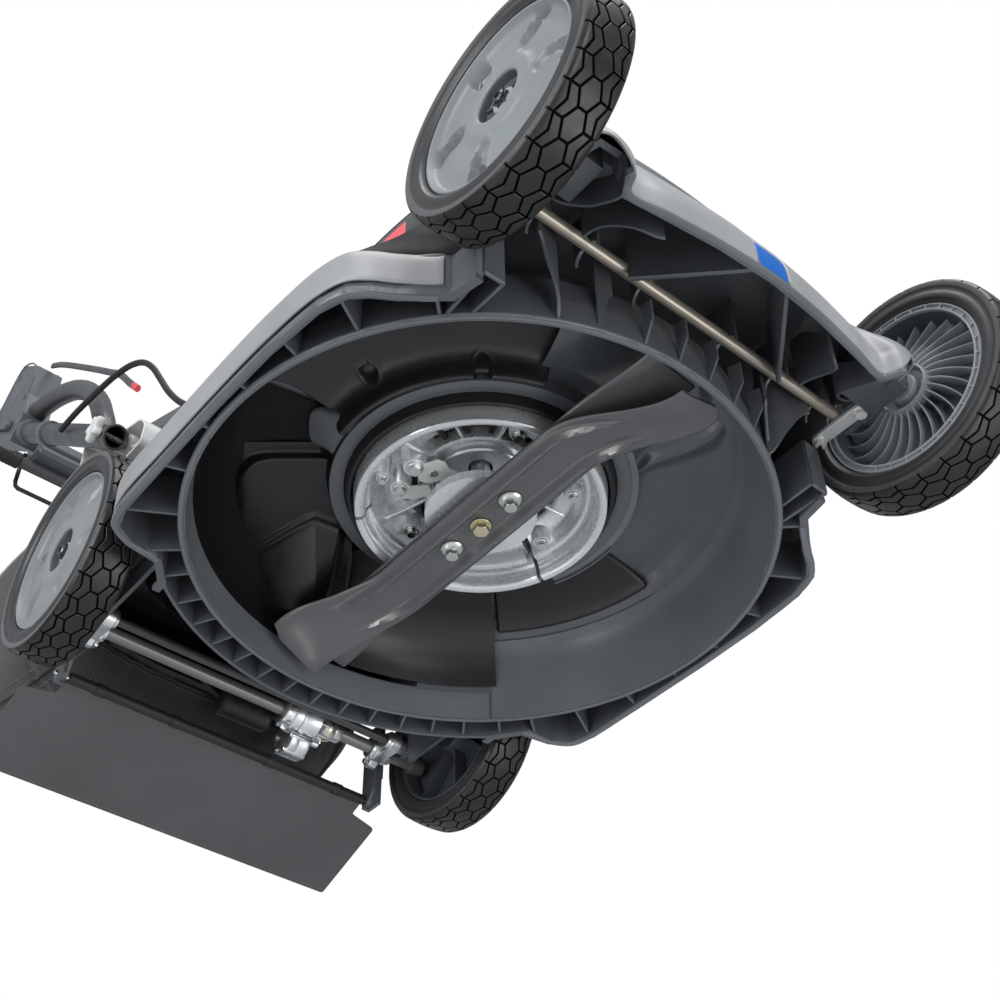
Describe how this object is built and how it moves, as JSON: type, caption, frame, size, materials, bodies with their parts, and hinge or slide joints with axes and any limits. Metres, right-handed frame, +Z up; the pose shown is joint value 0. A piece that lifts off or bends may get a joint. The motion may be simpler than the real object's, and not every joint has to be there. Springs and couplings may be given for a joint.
{
  "type": "lawn mower",
  "caption": "Self-propelled cordless walk-behind lawn mower seen from below: deck with cutting chamber, twin blades, wheels on height arms, rear drive, flap, grass bag, folding handle.",
  "frame": {"origin": "bottom centre of the model's bounding box, on the ground under the wheels", "axes": "+Z up; +Y to the rear, where the operator stands; +X to the operator's left"},
  "size_m": [0.575, 1.683, 1.1],
  "materials": {
    "deck_plastic": "fine grained, dark grey",
    "trim_plastic": "fine grained, light grey",
    "black_plastic": "matte black",
    "rubber": "matte, slightly dusty",
    "tyre": "moulded tread",
    "rim_plastic": "satin blue-grey",
    "cast_aluminium": "satin cast",
    "plated_steel": "zinc plated",
    "raw_steel": "drawn bar",
    "blade_steel": "satin dark",
    "powder_coat": "satin powder coat",
    "light_plastic": "ribbed, light grey",
    "bag_fabric": "woven mesh",
    "signal_red": "gloss"
  },
  "bodies": {
    "chassis": {"deck_shell": "deck_plastic", "side_trim_left": "trim_plastic", "side_trim_right": "trim_plastic", "front_cover": "trim_plastic", "top_hood": "trim_plastic", "battery_pack": "black_plastic", "motor_ring": "cast_aluminium", "motor_housing": "cast_aluminium", "chamber_liner_front": "black_plastic", "chamber_liner_rear": "black_plastic", "discharge_duct": "black_plastic", "handle_bracket_left": "light_plastic", "handle_bracket_right": "light_plastic", "front_strap_left": "cast_aluminium", "front_strap_right": "cast_aluminium", "handle_cable": "black_plastic", "grass_bag": "bag_fabric", "bag_frame": "black_plastic"},
    "front_swing": {"front_pivot_shaft": "raw_steel", "front_arm_left": "deck_plastic", "front_arm_right": "deck_plastic"},
    "rear_swing": {"rear_pivot_rod": "powder_coat", "rear_arm_left": "deck_plastic", "rear_arm_right": "deck_plastic", "rear_bracket_left": "cast_aluminium", "rear_bracket_right": "cast_aluminium", "gearbox_housing": "cast_aluminium", "drive_motor": "deck_plastic"},
    "drive_axle": {"drive_shaft": "plated_steel"},
    "front_wheel_left": {"front_tyre_left": "tyre", "front_rim_left": "rim_plastic"},
    "front_wheel_right": {"front_tyre_right": "tyre", "front_rim_right": "rim_plastic"},
    "rear_wheel_left": {"rear_tyre_left": "tyre", "rear_rim_left": "rim_plastic"},
    "rear_wheel_right": {"rear_tyre_right": "tyre", "rear_rim_right": "rim_plastic"},
    "cutter": {"blade_hub": "cast_aluminium", "lower_blade": "blade_steel", "upper_blade": "blade_steel", "blade_bolt_front": "plated_steel", "blade_bolt_rear": "plated_steel", "centre_bolt": "plated_steel"},
    "trailing_flap": {"rear_flap": "rubber"},
    "discharge_door": {"rear_door": "deck_plastic"},
    "battery_lid": {"battery_door": "deck_plastic"},
    "lower_handle": {"lower_tube_left": "powder_coat", "lower_tube_right": "powder_coat", "handle_brace_left": "deck_plastic", "handle_brace_right": "deck_plastic"},
    "handle_top": {"upper_handle": "powder_coat", "control_box": "deck_plastic"},
    "clamp_left": {"clamp_lever_left": "deck_plastic"},
    "clamp_right": {"clamp_lever_right": "deck_plastic"},
    "presence_bail": {"bail_bar": "powder_coat"},
    "drive_bail": {"drive_lever": "black_plastic"},
    "start_switch": {"start_button": "signal_red"},
    "dial": {"speed_dial": "black_plastic"},
    "fold_release": {"fold_release_rod": "powder_coat"},
    "height_handle": {"height_lever": "black_plastic"}
  },
  "joints": [
    {"name": "front_swing", "type": "hinge", "parent": "chassis", "child": "front_swing", "pos_m": [0, -0.6725, 0.105], "axis": [1, 0, 0], "range_deg": [0, 40]},
    {"name": "rear_swing", "type": "hinge", "parent": "chassis", "child": "rear_swing", "pos_m": [0, -0.0125, 0.097], "axis": [1, 0, 0], "range_deg": [0, 46.5]},
    {"name": "height_lever", "type": "hinge", "parent": "chassis", "child": "height_handle", "pos_m": [0.2228, -0.1865, 0.19], "axis": [1, 0, 0], "range_deg": [0, 41]},
    {"name": "front_wheel_left", "type": "hinge", "parent": "front_swing", "child": "front_wheel_left", "pos_m": [0.237, -0.7295, 0.112], "axis": [1, 0, 0], "continuous": true},
    {"name": "front_wheel_right", "type": "hinge", "parent": "front_swing", "child": "front_wheel_right", "pos_m": [-0.237, -0.7295, 0.112], "axis": [1, 0, 0], "continuous": true},
    {"name": "rear_wheel_left", "type": "hinge", "parent": "rear_swing", "child": "rear_wheel_left", "pos_m": [0.2465, -0.0585, 0.112], "axis": [1, 0, 0], "continuous": true},
    {"name": "rear_wheel_right", "type": "hinge", "parent": "rear_swing", "child": "rear_wheel_right", "pos_m": [-0.2465, -0.0585, 0.112], "axis": [1, 0, 0], "continuous": true},
    {"name": "drive_shaft_spin", "type": "hinge", "parent": "rear_swing", "child": "drive_axle", "pos_m": [0, 0.016, 0.102], "axis": [1, 0, 0], "continuous": true},
    {"name": "cutter_spin", "type": "hinge", "parent": "chassis", "child": "cutter", "pos_m": [0, -0.3965, 0.06], "axis": [0, 0, 1], "continuous": true},
    {"name": "rear_flap", "type": "hinge", "parent": "chassis", "child": "trailing_flap", "pos_m": [0, 0.048, 0.053], "axis": [1, 0, 0], "range_deg": [0, 24]},
    {"name": "rear_door", "type": "hinge", "parent": "chassis", "child": "discharge_door", "pos_m": [0, 0.0515, 0.405], "axis": [1, 0, 0], "range_deg": [0, 70]},
    {"name": "battery_door", "type": "hinge", "parent": "chassis", "child": "battery_lid", "pos_m": [0, -0.3121, 0.3112], "axis": [-1, 0, 0], "range_deg": [0, 75]},
    {"name": "handle_fold", "type": "hinge", "parent": "chassis", "child": "lower_handle", "pos_m": [0, -0.0865, 0.26], "axis": [1, 0, 0], "range_deg": [0, 135], "deforming": ["handle_cable"]},
    {"name": "handle_slide", "type": "slide", "parent": "lower_handle", "child": "handle_top", "axis": [0, -0.7698, -0.6383], "range_m": [0, 0.2]},
    {"name": "clamp_lever_left", "type": "hinge", "parent": "lower_handle", "child": "clamp_left", "pos_m": [0.2706, 0.29068, 0.57278], "axis": [-1, 0, 0], "range_deg": [0, 80]},
    {"name": "clamp_lever_right", "type": "hinge", "parent": "lower_handle", "child": "clamp_right", "pos_m": [-0.2706, 0.29068, 0.57278], "axis": [-1, 0, 0], "range_deg": [0, 80]},
    {"name": "presence_bail", "type": "hinge", "parent": "handle_top", "child": "presence_bail", "pos_m": [0, 0.70844, 0.93208], "axis": [1, 0, 0], "range_deg": [-24, 0], "stiffness_Nm_per_rad": 1.2, "springref_deg": 20.05},
    {"name": "drive_bail", "type": "hinge", "parent": "handle_top", "child": "drive_bail", "pos_m": [0, 0.8185, 1.064], "axis": [1, 0, 0], "range_deg": [-12, 0], "stiffness_Nm_per_rad": 0.2, "springref_deg": 11.46},
    {"name": "start_button", "type": "slide", "parent": "handle_top", "child": "start_switch", "axis": [0, 0, -1], "range_m": [0, 0.004], "stiffness_N_per_m": 300, "springref_m": -0.003},
    {"name": "speed_dial", "type": "hinge", "parent": "handle_top", "child": "dial", "pos_m": [-0.024, 0.8035, 1.0865], "axis": [0, 0, 1], "range_deg": [0, 270]},
    {"name": "fold_release", "type": "slide", "parent": "lower_handle", "child": "fold_release", "axis": [0, 0.7698, 0.6383], "range_m": [0, 0.01], "stiffness_N_per_m": 400, "springref_m": -0.005}
  ],
  "couplings": [
    {"joint": "rear_swing", "follows": "front_swing", "ratio": 1.15},
    {"joint": "height_lever", "follows": "front_swing", "ratio": 1}
  ]
}
